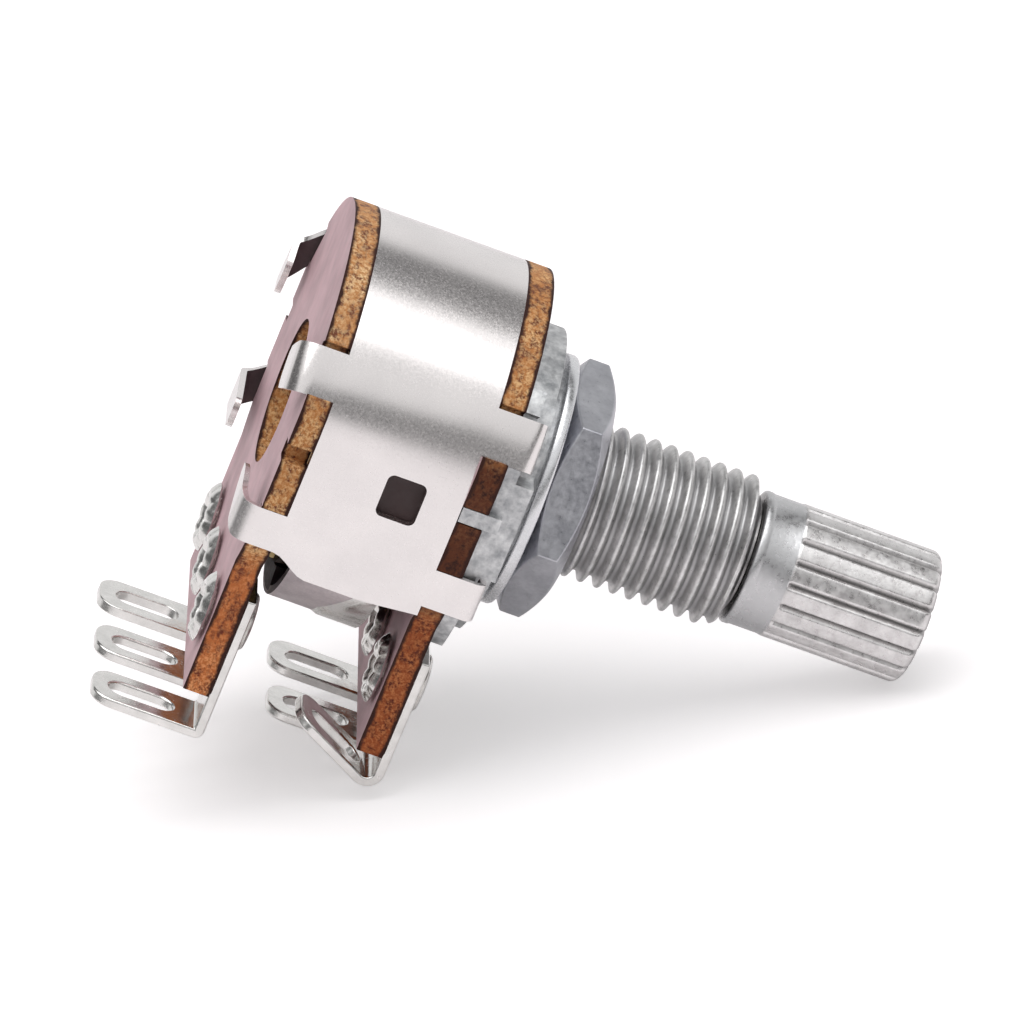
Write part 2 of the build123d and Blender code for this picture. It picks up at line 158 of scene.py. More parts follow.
def metal(
    name, light, dark, roughness, grain, bumpDepth,
    patch=600.0, stretch=(1, 1, 1), grooves=None, collar=None,
):
    # plated or cast metal, with broad patches in its colour and a fine grain
    # grooves: bottom radius, top radius and colour of the painted shade in the grooves about the shaft;
    # collar: where it ends and its colour, a painted shade over it
    mat, tree, shader, coord = newMaterial(name)
    shader.inputs["Metallic"].default_value = 1.0
    broad = addNoise(tree, coord, patch, 2.0)
    fine = addNoise(tree, coord, grain, 4.0, 0.7, stretch)
    mixed = addMath(tree, "ADD", addMath(tree, "MULTIPLY", broad, 0.5), addMath(tree, "MULTIPLY", fine, 0.5))
    colour = addMix(tree, addRange(tree, mixed, 0.35, 0.65, 0, 1), dark, light)
    split = tree.nodes.new("ShaderNodeSeparateXYZ")
    tree.links.new(coord, split.inputs["Vector"])
    x, y, z = (split.outputs[axis] for axis in "XYZ")
    # painted shade: the collar's metal darker than the knurled head
    if collar:
        end, shade = collar
        colour = addMix(tree, addRange(tree, x, (end - 0.03) * mm, (end + 0.03) * mm, 0, 1), shade, colour)
    # painted shade: darker towards the groove bottoms
    if grooves:
        bottom, top, shade = grooves
        depth = addRange(tree, addLength(tree, y, z), bottom * mm, top * mm, 0, 1)
        colour = addMix(tree, depth, shade, colour)
    tree.links.new(colour, shader.inputs["Base Color"])
    tree.links.new(addRange(tree, fine, 0.3, 0.7, roughness[0], roughness[1]), shader.inputs["Roughness"])
    addBump(tree, shader, fine, bumpDepth)
    return mat


def moulded(name, colour, roughness=0.45, grain=4000.0, depth=0.00001):
    # plain moulded or painted surface with a faint texture
    mat, tree, shader, coord = newMaterial(name)
    fine = addNoise(tree, coord, grain, 3.0)
    broad = addNoise(tree, coord, 500.0, 2.0)
    darker = tuple(c * 0.8 for c in colour)
    blotches = addMix(tree, addRange(tree, broad, 0.35, 0.65, 0, 1), darker, colour)
    gloss = addRange(tree, fine, 0.3, 0.7, roughness - 0.08, roughness + 0.08)
    tree.links.new(blotches, shader.inputs["Base Color"])
    tree.links.new(gloss, shader.inputs["Roughness"])
    addBump(tree, shader, fine, depth)
    return mat


# each metal: light and dark colour, roughness from and to, grains per metre, bump depth, patches per metre
caseTin = metal("caseTin", (0.92, 0.88, 0.872), (0.83, 0.795, 0.79), (0.16, 0.3), 9000.0, 0.0000025, 450.0)
# the case's inner side, tin painted near black: painted shade for the hollows behind the folded tabs
caseShadeInside = metal("caseShadeInside", (0.16, 0.12, 0.125), (0.1, 0.075, 0.08), (0.5, 0.65), 5000.0, 0.00001)
lugTin = metal("lugTin", (0.9, 0.885, 0.865), (0.7, 0.69, 0.67), (0.12, 0.3), 2600.0, 0.00002, 900.0)
nutZinc = metal("nutZinc", (0.6, 0.605, 0.64), (0.4, 0.405, 0.44), (0.26, 0.46), 3600.0, 0.00002, 700.0)
washerZinc = metal("washerZinc", (0.86, 0.86, 0.88), (0.68, 0.69, 0.71), (0.2, 0.35), 6000.0, 0.000006, 500.0)
castZinc = metal("castZinc", (0.82, 0.825, 0.83), (0.32, 0.33, 0.345), (0.34, 0.6), 3300.0, 0.00005, 1500.0)
# thread roots darkened with painted shade
threadZinc = metal(
    "threadZinc", (0.84, 0.83, 0.83), (0.48, 0.475, 0.47), (0.25, 0.5), 3800.0, 0.00003, 1300.0,
    grooves=(3.04, 3.3, (0.43, 0.425, 0.43)),
)
# knurl grooves and collar darkened with painted shade
shaftMetal = metal(
    "shaftMetal", (0.9, 0.885, 0.88), (0.62, 0.6, 0.6), (0.2, 0.45), 3300.0, 0.00003, 1300.0,
    grooves=(2.78, 2.9, (0.42, 0.41, 0.41)), collar=(12.0, (0.6, 0.6, 0.61)),
)
brushedTin = metal(
    "brushedTin", (0.66, 0.6, 0.61), (0.42, 0.37, 0.385), (0.4, 0.6), 2600.0, 0.00002, 700.0,
    stretch=(3, 3, 0.25),
)
clipSteel = metal("clipSteel", (0.42, 0.42, 0.44), (0.3, 0.3, 0.31), (0.3, 0.45), 4000.0, 0.00001)
springBrass = metal("springBrass", (0.78, 0.6, 0.32), (0.62, 0.46, 0.22), (0.25, 0.4), 4000.0, 0.00001)
silverFilm = metal("silverFilm", (0.75, 0.73, 0.68), (0.6, 0.58, 0.52), (0.45, 0.6), 6000.0, 0.00001)
carbonFilm = moulded("carbonFilm", (0.018, 0.017, 0.016), 0.55)
separatorPlastic = moulded("separatorPlastic", (0.045, 0.022, 0.022), 0.5)
rotorPlastic = moulded("rotorPlastic", (0.10, 0.045, 0.02), 0.5)
mauvePaint = moulded("mauvePaint", (0.7, 0.47, 0.505), 0.6, 2500.0, 0.000015)


fibreLook = {
    "pale": (0.86, 0.54, 0.26),
    "mid": (0.52, 0.21, 0.065),
    "deep": (0.16, 0.045, 0.02),
    "skin": (0.035, 0.008, 0.004),
    "skinDepth": 0.16,  # mm
    "halfDepth": 0.585,  # mm, half the board
    "ragged": 0.5,  # mm, how far the skins' inner edge wanders
}
boards = {  # the board's middle along the shaft, and (low z, high z, colour multiplied in over that height: painted shade below 1, painted light above 1), in mm
    # front: painted shade over the middle and low heights; rear: painted shade low down, painted bluish light
    # at the top
    "front": (-2.535, [(-4.3, 3.5, (0.2, 0.12, 0.11)), (-20, -4.3, (0.62, 0.34, 0.24))]),
    "rear": (-10.435, [(-20, -5.0, (1.05, 0.74, 0.62)), (3.5, 20, (1.1, 1.2, 1.35))]),
}


def fibreBoard(name, middleX, paintedLightBands):
    # pressed fibre: mottled grain with ragged dark skins at both faces, and bands of painted shade and
    # painted light by height
    look = fibreLook
    mat, tree, shader, coord = newMaterial(name)
    coarse = addNoise(tree, coord, 2900.0, 4.0, 0.66, (1, 0.8, 0.8))
    fine = addNoise(tree, coord, 6200.0, 4.0, 0.75)
    broad = addNoise(tree, coord, 330.0, 3.0, 0.6)
    pressed = addMix(tree, addRange(tree, coarse, 0.4, 0.54, 0, 1), look["deep"], look["mid"])
    lit = addMix(tree, addRange(tree, fine, 0.45, 0.6, 0, 1), pressed, look["pale"])
    body = addMix(tree, addRange(tree, broad, 0.4, 0.62, 0, 0.75), lit, pressed)
    split = tree.nodes.new("ShaderNodeSeparateXYZ")
    tree.links.new(coord, split.inputs["Vector"])
    height = split.outputs["Z"]
    # painted shade and painted light by height, multiplied over the grain
    for low, high, paintedTone in paintedLightBands:
        above = addRange(tree, height, (low - 0.5) * mm, (low + 0.5) * mm, 0, 1)
        below = addRange(tree, height, (high - 0.7) * mm, (high + 0.7) * mm, 1, 0)
        body = addMix(tree, addMath(tree, "MULTIPLY", above, below), body, paintedTone, "MULTIPLY")
    away = addMath(tree, "ABSOLUTE", addMath(tree, "SUBTRACT", split.outputs["X"], middleX * mm))
    wander = addMath(tree, "SUBTRACT", addNoise(tree, coord, 900.0, 4.0, 0.7), 0.5)
    wavy = addMath(tree, "ADD", away, addMath(tree, "MULTIPLY", wander, look["ragged"] * mm))
    edge = (look["halfDepth"] - look["skinDepth"]) * mm
    skin = addRange(tree, wavy, edge - 0.00004, edge + 0.00008, 0, 1)
    tree.links.new(addMix(tree, skin, body, look["skin"]), shader.inputs["Base Color"])
    tree.links.new(addRange(tree, fine, 0.3, 0.7, 0.45, 0.75), shader.inputs["Roughness"])
    shader.inputs["Specular IOR Level"].default_value = 0.25
    addBump(tree, shader, coarse, 0.00008, 0.6)
    return mat


frontFibre = fibreBoard("frontFibre", *boards["front"])
rearFibre = fibreBoard("rearFibre", *boards["rear"])
print("materials ready")


# mesh helpers
def newPiece(name, bm, *materials, sharp=35.0):
    mesh = bpy.data.meshes.new(name)
    bm.to_mesh(mesh)
    bm.free()
    for mat in materials:
        mesh.materials.append(mat)
    mesh.polygons.foreach_set("use_smooth", [True] * len(mesh.polygons))
    mesh.set_sharp_from_angle(angle=math.radians(sharp))
    obj = bpy.data.objects.new(name, mesh)
    scene.collection.objects.link(obj)
    return obj


def roundEdges(obj, width, segments=2, angle=35.0):
    mod = obj.modifiers.new("roundedEdges", "BEVEL")
    mod.width = width * mm
    mod.segments = segments
    mod.limit_method = "ANGLE"
    mod.angle_limit = math.radians(angle)
    mod.harden_normals = True
    return mod


def copySolid(node):
    # a merged copy of a CAD solid with its flat faces whole
    bm = bmesh.new()
    bm.from_mesh(cadNodes[node].data)
    bmesh.ops.remove_doubles(bm, verts=bm.verts, dist=2e-7)
    bmesh.ops.dissolve_limit(bm, angle_limit=math.radians(1.0), verts=bm.verts, edges=bm.edges)
    return bm


def keepBelow(bm, x):
    # cuts a solid across the shaft, keeps what is behind and closes the cut
    parts = bm.verts[:] + bm.edges[:] + bm.faces[:]
    result = bmesh.ops.bisect_plane(
        bm, geom=parts, plane_co=(x * mm, 0, 0), plane_no=(1, 0, 0), clear_outer=True
    )
    rim = [g for g in result["geom_cut"] if isinstance(g, bmesh.types.BMEdge)]
    bmesh.ops.triangle_fill(bm, edges=rim, use_beauty=True)
    bmesh.ops.recalc_face_normals(bm, faces=bm.faces)


def addLathe(bm, profile, columns, closed=False, turn=0.0):
    # turns a profile of (x, r) in mm about the shaft axis; closed profiles make rings
    rings = []
    for x, r in profile:
        if r < 1e-6:
            rings.append([bm.verts.new((x * mm, 0, 0))])
            continue
        ring = []
        for k in range(columns):
            a = math.radians(turn) + 2 * math.pi * k / columns
            ring.append(bm.verts.new((x * mm, r * mm * math.cos(a), r * mm * math.sin(a))))
        rings.append(ring)
    pairs = list(zip(rings, rings[1:]))
    if closed:
        pairs.append((rings[-1], rings[0]))
    for a, b in pairs:
        for k in range(columns):
            n = (k + 1) % columns
            if len(a) == 1:
                bm.faces.new((a[0], b[k], b[n]))
            elif len(b) == 1:
                bm.faces.new((a[k], b[0], a[n]))
            else:
                bm.faces.new((a[k], b[k], b[n], a[n]))
    return rings


def steps(start, end, count):
    return [start + (end - start) * k / count for k in range(count + 1)]


# Geometry Nodes helpers
def newTree(name, numbers):
    # a tree with a geometry, a place, a material and the named numbers as inputs
    tree = bpy.data.node_groups.new(name, "GeometryNodeTree")
    tree.interface.new_socket(name="Geometry", in_out="INPUT", socket_type="NodeSocketGeometry")
    tree.interface.new_socket(name="Geometry", in_out="OUTPUT", socket_type="NodeSocketGeometry")
    tree.interface.new_socket(name="Place", in_out="INPUT", socket_type="NodeSocketVector")
    tree.interface.new_socket(name="Material", in_out="INPUT", socket_type="NodeSocketMaterial")
    for label in numbers:
        tree.interface.new_socket(name=label, in_out="INPUT", socket_type="NodeSocketFloat")
    return tree, tree.nodes.new("NodeGroupInput"), tree.nodes.new("NodeGroupOutput")


def setInputs(mod, values):
    for item in mod.node_group.interface.items_tree:
        if item.in_out == "INPUT" and item.name in values:
            mod[item.identifier] = values[item.name]


def plainMesh(obj):
    # the evaluated result as a plain mesh, modifiers removed
    bpy.context.view_layer.update()
    done = bpy.data.meshes.new_from_object(obj.evaluated_get(bpy.context.evaluated_depsgraph_get()))
    obj.modifiers.clear()
    obj.data = done
    return obj


class Wires:
    # short calls for the nodes of a geometry tree
    def __init__(self, tree):
        self.tree = tree

    def node(self, kind):
        return self.tree.nodes.new(kind)

    def link(self, a, b):
        self.tree.links.new(a, b)

    def calc(self, operation, a, b=None):
        return addMath(self.tree, operation, a, b)

    def smooth(self, value, low, high):
        return addRange(self.tree, value, low, high, kind="SMOOTHSTEP")

    def place(self):
        # x, y, z of a point
        split = self.node("ShaderNodeSeparateXYZ")
        self.link(self.node("GeometryNodeInputPosition").outputs[0], split.inputs[0])
        return split.outputs

    def moveTo(self, geometry, x, y, z):
        # sets every point's place
        join = self.node("ShaderNodeCombineXYZ")
        for socket, value in zip(join.inputs, (x, y, z)):
            self.link(value, socket)
        move = self.node("GeometryNodeSetPosition")
        self.link(geometry, move.inputs["Geometry"])
        self.link(join.outputs[0], move.inputs["Position"])
        return move.outputs[0]

    def squeeze(self, entry, x, y, z, scale):
        # moves every point towards the X axis
        return self.moveTo(
            entry.outputs["Geometry"], x, self.calc("MULTIPLY", y, scale), self.calc("MULTIPLY", z, scale)
        )

    def finish(self, geometry, entry, leave):
        real = self.node("GeometryNodeRealizeInstances")
        paint = self.node("GeometryNodeSetMaterial")
        self.link(geometry, real.inputs[0])
        self.link(real.outputs[0], paint.inputs["Geometry"])
        self.link(entry.outputs["Material"], paint.inputs["Material"])
        self.link(paint.outputs[0], leave.inputs[0])


def threadTree():
    # presses a right-hand thread into a plain cylinder round the X axis
    numbers = ("Pitch", "Depth", "Crest Place", "Start", "Run In", "Inner Radius")
    tree, entry, leave = newTree("screwThread", numbers)
    w = Wires(tree)
    x, y, z = w.place()
    turn = w.calc("DIVIDE", w.calc("ARCTAN2", z, y), 2 * math.pi)
    run = w.calc("DIVIDE", w.calc("SUBTRACT", x, entry.outputs["Crest Place"]), entry.outputs["Pitch"])
    phase = w.calc("FRACT", w.calc("ADD", w.calc("SUBTRACT", run, turn), 20.5))
    hill = w.calc("MULTIPLY", w.calc("ABSOLUTE", w.calc("SUBTRACT", phase, 0.5)), 2.0)  # 0 on the crest
    start = entry.outputs["Start"]
    started = w.smooth(x, start, w.calc("ADD", start, entry.outputs["Run In"]))
    sinking = w.calc("MULTIPLY", w.smooth(hill, 0.1, 0.86), started)  # narrow crests and roots
    radius = addLength(tree, y, z)
    outside = w.calc("GREATER_THAN", radius, entry.outputs["Inner Radius"])
    drop = w.calc("MULTIPLY", w.calc("MULTIPLY", sinking, entry.outputs["Depth"]), outside)
    scale = w.calc("DIVIDE", w.calc("SUBTRACT", radius, drop), radius)
    w.finish(w.squeeze(entry, x, y, z, scale), entry, leave)
    return tree


def knurlTree():
    # presses straight grooves into a round head round the X axis
    numbers = ("Teeth", "Turn", "Groove Share", "Depth", "Start", "Run Out", "Inner Radius")
    tree, entry, leave = newTree("straightKnurl", numbers)
    w = Wires(tree)
    x, y, z = w.place()
    start, inner = entry.outputs["Start"], entry.outputs["Inner Radius"]
    turn = w.calc("DIVIDE", w.calc("SUBTRACT", w.calc("ARCTAN2", z, y), entry.outputs["Turn"]), 2 * math.pi)
    phase = w.calc("FRACT", w.calc("ADD", w.calc("MULTIPLY", turn, entry.outputs["Teeth"]), 40.5))
    away = w.calc("MULTIPLY", w.calc("ABSOLUTE", w.calc("SUBTRACT", phase, 0.5)), 2.0)  # 0 in the groove
    cut = w.calc("SUBTRACT", 1.0, w.smooth(away, 0.02, entry.outputs["Groove Share"]))
    runs = w.smooth(x, start, w.calc("ADD", start, entry.outputs["Run Out"]))
    radius = addLength(tree, y, z)
    outside = w.smooth(radius, inner, w.calc("ADD", inner, 0.00025))
    full = w.calc("MULTIPLY", w.calc("MULTIPLY", cut, runs), entry.outputs["Depth"])
    drop = w.calc("MULTIPLY", full, outside)
    scale = w.calc("DIVIDE", w.calc("SUBTRACT", radius, drop), w.calc("MAXIMUM", radius, 1e-6))
    w.finish(w.squeeze(entry, x, y, z, scale), entry, leave)
    return tree


# threaded bushing, joined to the cast base below
bushing = {
    "crest": 3.45,
    "bore": 2.45,
    "length": 10.0,
    "pitch": 0.75,
    "depth": 0.42,
    "chamfer": 0.4,
    "crestPlace": 3.35,  # mm, where a crest passes the +Y side
    "start": -1.0,  # behind the seat
    "runIn": 0.6,
    "wall": 0.3,  # mm over the bore that the thread never reaches
}


def threadedBushing():
    b = bushing
    bm = bmesh.new()
    end, crest, bore = b["length"], b["crest"], b["bore"]
    outer = [(x, crest) for x in steps(0.0, end - b["chamfer"], 190)]
    tip = [(end - 0.25, crest - 0.12), (end - 0.1, crest - 0.3)]
    tip += [(end - 0.03, crest - 0.42), (end, crest - 0.5)]
    mouth = [(end, bore + 0.22), (end - 0.04, bore + 0.12), (end - 0.22, bore)]
    addLathe(bm, outer + tip + mouth + [(0.0, bore)], 120, closed=True)
    bmesh.ops.recalc_face_normals(bm, faces=bm.faces)
    obj = newPiece("threadedBushing", bm, threadZinc)
    mod = obj.modifiers.new("screwThread", "NODES")
    mod.node_group = threadTree()
    setInputs(mod, {
        "Pitch": b["pitch"] * mm,
        "Depth": b["depth"] * mm,
        "Crest Place": b["crestPlace"] * mm,
        "Start": b["start"] * mm,
        "Run In": b["runIn"] * mm,
        "Inner Radius": (bore + b["wall"]) * mm,
        "Material": threadZinc,
    })
    plainMesh(obj)
    obj.data.polygons.foreach_set("use_smooth", [True] * len(obj.data.polygons))
    obj.data.set_sharp_from_angle(angle=math.radians(48))
    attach(obj, "housing")


threadedBushing()


# cast base: the CAD casting behind the bushing, its flange lower over the round top
castTop = {"radius": 6.6, "nearDeg": -42.0, "farDeg": 52.0, "back": -1.94, "front": 0.03, "clear": 11.0}


def trimFlangeTop(base):
    # a fan-shaped cutter over the top takes the flange down
    t = castTop
    bm = bmesh.new()
    sides = []
    for x in (t["back"], t["front"]):
        inner = [(t["radius"], a) for a in steps(t["nearDeg"], t["farDeg"], 24)]
        outer = [(t["clear"], a) for a in steps(t["farDeg"] + 4, t["nearDeg"] - 4, 12)]
        ring = []
        for r, deg in inner + outer:
            a = math.radians(deg)
            ring.append(bm.verts.new((x * mm, r * mm * math.sin(a), r * mm * math.cos(a))))
        sides.append(ring)
    bm.faces.new(sides[0])
    bm.faces.new(list(reversed(sides[1])))
    for k in range(len(sides[0])):
        n = (k + 1) % len(sides[0])
        bm.faces.new((sides[0][n], sides[0][k], sides[1][k], sides[1][n]))
    bmesh.ops.recalc_face_normals(bm, faces=bm.faces)
    cutter = newPiece("flangeCutter", bm, castZinc)
    cut = base.modifiers.new("flangeTop", "BOOLEAN")
    cut.object = cutter
    cut.operation = "DIFFERENCE"
    cut.solver = "EXACT"
    plainMesh(base)
    bpy.data.objects.remove(cutter)


def castFlange():
    bm = copySolid("bushing_base")
    keepBelow(bm, 0.02)
    base = newPiece("castBase", bm, castZinc)
    trimFlangeTop(base)
    roundEdges(base, 0.09, 3)
    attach(base, "housing")
    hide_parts("bushing_base")


castFlange()
print("bushing and base done")


# shaft: turned head with a straight knurl on a copy of the hidden neck and tail
shaftHead = {
    "headX": 10.2,
    "ringR": 3.0,
    "collarR": 2.96,
    "headR": 3.0,
    "knurlX": 12.0,
    "tipX": 18.4,
    "teeth": 18,
    "turn": 10.0,
    "grooveShare": 0.34,
    "grooveDepth": 0.24,
    "runOut": 0.1,
    "coreR": 2.0,  # nothing inside this radius is pressed
}


def turnedShaft():
    s = shaftHead
    start, ring, collar = s["headX"], s["ringR"], s["collarR"]
    head, knurl, tip = s["headR"], s["knurlX"], s["tipX"]
    profile = [
        (start, 0.0), (start, 2.3), (start, ring - 0.12), (start + 0.05, ring - 0.03),
        (start + 0.12, ring), (start + 0.32, ring), (start + 0.4, ring - 0.03),
        (start + 0.46, collar), (start + 1.2, collar), (knurl - 0.12, collar),
        (knurl - 0.05, collar + 0.01), (knurl, head - 0.03), (knurl + 0.06, head),
    ]
    profile += [(x, head) for x in steps(knurl + 0.12, knurl + 0.6, 6)]
    profile += [(x, head) for x in steps(knurl + 1.0, tip - 0.55, 12)]
    for a in steps(8, 90, 8):
        t = math.radians(a)
        profile.append((tip - 0.42 + 0.42 * math.sin(t), head - 0.5 + 0.5 * math.cos(t)))
    profile += [(tip, 2.4), (tip, 2.3), (tip - 0.03, 1.5), (tip - 0.05, 0.0)]
    bm = bmesh.new()
    addLathe(bm, profile, s["teeth"] * 16)
    bmesh.ops.recalc_face_normals(bm, faces=bm.faces)
    turned = newPiece("shaftHead", bm, shaftMetal)
    mod = turned.modifiers.new("straightKnurl", "NODES")
    mod.node_group = knurlTree()
    setInputs(mod, {
        "Teeth": float(s["teeth"]),
        "Turn": math.radians(s["turn"]),
        "Groove Share": s["grooveShare"],
        "Depth": s["grooveDepth"] * mm,
        "Start": knurl * mm,
        "Run Out": s["runOut"] * mm,
        "Inner Radius": s["coreR"] * mm,
        "Material": shaftMetal,
    })
    plainMesh(turned)
    bm = copySolid("shaft")
    keepBelow(bm, start - 0.05)
    bm.from_mesh(turned.data)
    bpy.data.objects.remove(turned)
    obj = newPiece("knurledShaft", bm, shaftMetal, sharp=40)
    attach(obj, "spindle")
    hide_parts("shaft")


turnedShaft()
print("shaft done")


# hexagon nut with the corners of both faces turned off
nut = {
    "flats": 10.0,
    "back": 0.5,
    "front": 2.5,
    "turn": 10.0,
    "faceR": 4.72,
    "slope": 0.52,  # fall of the turned-off corners
    "bore": 3.47,
    "lead": 0.35,  # chamfer of the bore
    "perSide": 14,
}


def hexagonNut():
    n = nut
    bm = bmesh.new()
    columns = 6 * n["perSide"]
    front, back, bore, lead = n["front"], n["back"], n["bore"], n["lead"]
    rings = [[] for _ in range(8)]
    for k in range(columns):
        a = math.radians(n["turn"]) + 2 * math.pi * k / columns
        part = (k % n["perSide"]) / n["perSide"] * 60.0 - 30.0
        edgeR = n["flats"] / 2 / math.cos(math.radians(part))
        faceR = min(n["faceR"], edgeR - 0.02)
        fall = max(0.02, (edgeR - faceR) * n["slope"])
        rows = (
            (front - lead, bore), (front, bore + lead), (front, faceR), (front - fall, edgeR),
            (back + fall, edgeR), (back, faceR), (back, bore + lead), (back + lead, bore),
        )
        for ring, (x, r) in zip(rings, rows):
            ring.append(bm.verts.new((x * mm, r * mm * math.cos(a), r * mm * math.sin(a))))
    for a, b in zip(rings, rings[1:] + rings[:1]):
        for k in range(columns):
            m = (k + 1) % columns
            bm.faces.new((a[k], a[m], b[m], b[k]))
    bmesh.ops.recalc_face_normals(bm, faces=bm.faces)
    obj = newPiece("hexagonNut", bm, nutZinc, sharp=20)
    roundEdges(obj, 0.07, 2, 22)
    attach(obj, "housing")
    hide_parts("hex_nut")


hexagonNut()


washer = {"back": 0.0, "front": 0.5, "outer": 5.65, "bore": 3.6, "edge": 0.12}


def flatWasher():
    w = washer
    back, front, outer, bore, e = w["back"], w["front"], w["outer"], w["bore"], w["edge"]
    profile = [
        (back, bore + 0.04), (back, outer - 0.06), (back + 0.03, outer - 0.015), (back + 0.07, outer),
        (front - e, outer), (front - 0.03, outer - 0.04), (front, outer - e), (front, bore + 0.08),
        (front - 0.08, bore), (back + 0.04, bore),
    ]
    bm = bmesh.new()
    addLathe(bm, profile, 128, closed=True)
    bmesh.ops.recalc_face_normals(bm, faces=bm.faces)
    obj = newPiece("flatWasher", bm, washerZinc, sharp=50)
    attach(obj, "housing")
    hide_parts("flat_washer")


flatWasher()
print("nut and washer done")


# sheet case: a flat blank is laid out, wrapped over the round top and its tabs are folded
case = {
    "radius": 8.8,
    "halfWidth": 8.4,
    "rearShoulder": (61.0, 1.1),  # degrees from the top where the round straightens, and how slowly
    "frontShoulder": (51.0, 1.55),
    "sheet": 0.5,
    "rearX": -9.85,
    "frontX": -3.12,
    "lowZ": -4.6,
    "rearLowZ": -3.85,
    "rearRise": 1.7,  # length over which the low edge rises to the rear
    "frontRise": (0.25, -5.6, 2.4),  # its rise in front, from which x, over which length
    "upperTab": (61.0, 2.2),  # degrees from the top, width
    "rearLowerTab": (-4.6, -2.463),  # low and high, before the low edge's rise
    "frontLowerTab": (-4.098, -2.219),
    "window": (-5.63, 0.31, 1.75, 1.95, 0.3),  # x, z, length, height, corner
    "cell": 0.33,  # mesh size of the wall
    "tabCell": 0.16,
    "edge": 0.06,
    "tabSheet": 0.45,  # how much of the sheet's full weight the folded tabs keep
    "thinnest": 0.2,  # share of the thickness at no weight
}
# folds by level and side (-1 near the camera): stand past the case, reach inward, bend radius and angle,
# lean (near tabs upward, far tabs down the outline) and width of the tip, which ends in a horn under hornTip
hornTip = 0.2
rearTabs = {
    ("upper", -1): {"stand": 2.12, "reach": 2.4, "radius": 0.95, "angle": 88.0, "lean": 0.0, "tip": 0.86},
    ("upper", 1): {"stand": 2.2, "reach": 1.7, "radius": 0.4, "angle": 88.0, "lean": 1.35, "tip": 0.8},
    ("lower", -1): {"stand": 2.2, "reach": 2.35, "radius": 1.03, "angle": 88.0, "lean": 0.72, "tip": 0.19},
    ("lower", 1): {"stand": 2.15, "reach": 3.7, "radius": 0.4, "angle": 88.0, "lean": 0.75, "tip": 0.8},
}
frontTabs = {
    ("upper", -1): {"stand": 2.32, "reach": 1.5, "radius": 0.5, "angle": 90.0, "lean": 0.0, "tip": 0.8},
    ("upper", 1): {"stand": 2.32, "reach": 1.5, "radius": 0.45, "angle": 90.0, "lean": 0.0, "tip": 0.9},
    ("lower", -1): {"stand": 2.32, "reach": 1.5, "radius": 0.5, "angle": 90.0, "lean": 0.0, "tip": 0.8},
    ("lower", 1): {"stand": 2.32, "reach": 1.5, "radius": 0.45, "angle": 90.0, "lean": 0.0, "tip": 0.9},
}


def clamp(value):
    return min(1.0, max(0.0, value))


def eased(t):
    return t * t * (3 - 2 * t)


def caseOutline(bendDeg, slow):
    # points and lengths of the outer outline from the top middle down one side
    c = case
    a = math.radians(bendDeg)
    start = (c["radius"] * math.sin(a), c["radius"] * math.cos(a))
    run = (c["halfWidth"] - start[0]) / math.cos(a)
    corner = (c["halfWidth"], start[1] - run * math.sin(a))
    stop = (c["halfWidth"], corner[1] - run * slow)
    points = [(c["radius"] * math.sin(t), c["radius"] * math.cos(t)) for t in steps(0, a, 60)]
    for t in steps(0, 1, 16)[1:]:
        weights = ((1 - t) ** 2, 2 * t * (1 - t), t * t)
        points.append(tuple(sum(w * p[i] for w, p in zip(weights, (start, corner, stop))) for i in (0, 1)))
    points.append((c["halfWidth"], c["lowZ"] - 3))
    lengths = [0.0]
    for p, q in zip(points, points[1:]):
        lengths.append(lengths[-1] + math.dist(p, q))
    return points, lengths


outlines = [caseOutline(*case[end]) for end in ("rearShoulder", "frontShoulder")]
outlinePoints, outlineLengths = outlines[0]


def alongOutline(s, points, lengths):
    k = 0
    while k < len(lengths) - 2 and lengths[k + 1] < s:
        k += 1
    p, q = points[k], points[k + 1]
    t = (s - lengths[k]) / (lengths[k + 1] - lengths[k])
    dy, dz = q[0] - p[0], q[1] - p[1]
    size = math.hypot(dy, dz)
    return (p[0] + dy * t, p[1] + dz * t), (-dz / size, dy / size)


def onOutline(s, x):
    # outer point and outward direction at a signed length from the top middle, between the two end outlines
    side = -1 if s < 0 else 1
    share = clamp((x - case["rearX"]) / (case["frontX"] - case["rearX"]))
    ends = []
    for points, lengths in outlines:
        ends.append(alongOutline(abs(s) * lengths[-1] / outlineLengths[-1], points, lengths))
    (pa, na), (pb, nb) = ends
    y, z, ny, nz = [a + (b - a) * share for a, b in zip(pa + na, pb + nb)]
    size = math.hypot(ny, nz)
    return (side * y, z), (side * ny / size, nz / size)


def lengthAtZ(z):
    # length from the top middle down to a height on the flat side
    return outlineLengths[-1] - (z - outlinePoints[-1][1])


def layOutBlank():
    # where tabs, window and low edge lie on the flat sheet: lengths down one side, and places along the shaft
    c = case
    deg, width = c["upperTab"]
    middle = c["radius"] * math.radians(deg)
    wx, wz, wl, wh, _ = c["window"]
    return {
        "upper": (middle - width / 2, middle + width / 2),
        "rearLower": tuple(lengthAtZ(z) for z in reversed(c["rearLowerTab"])),
        "frontLower": tuple(lengthAtZ(z) for z in reversed(c["frontLowerTab"])),
        "windowS": (lengthAtZ(wz + wh / 2), lengthAtZ(wz - wh / 2)),
        "windowX": (wx - wl / 2, wx + wl / 2),
        "end": lengthAtZ(c["lowZ"]),
    }


blank = layOutBlank()


def bottomShift(s, x):
    # below the window the sheet is drawn up: the wall's low edge rises towards the rear and in front
    c = case
    rise, fromX, over = c["frontRise"]
    rear = (c["rearLowZ"] - c["lowZ"]) * (1 - eased(clamp((x - c["rearX"]) / c["rearRise"])))
    share = max(0.0, (abs(s) - blank["windowS"][1]) / (blank["end"] - blank["windowS"][1]))
    return -math.copysign((rear + rise * clamp((x - fromX) / over)) * share, s)


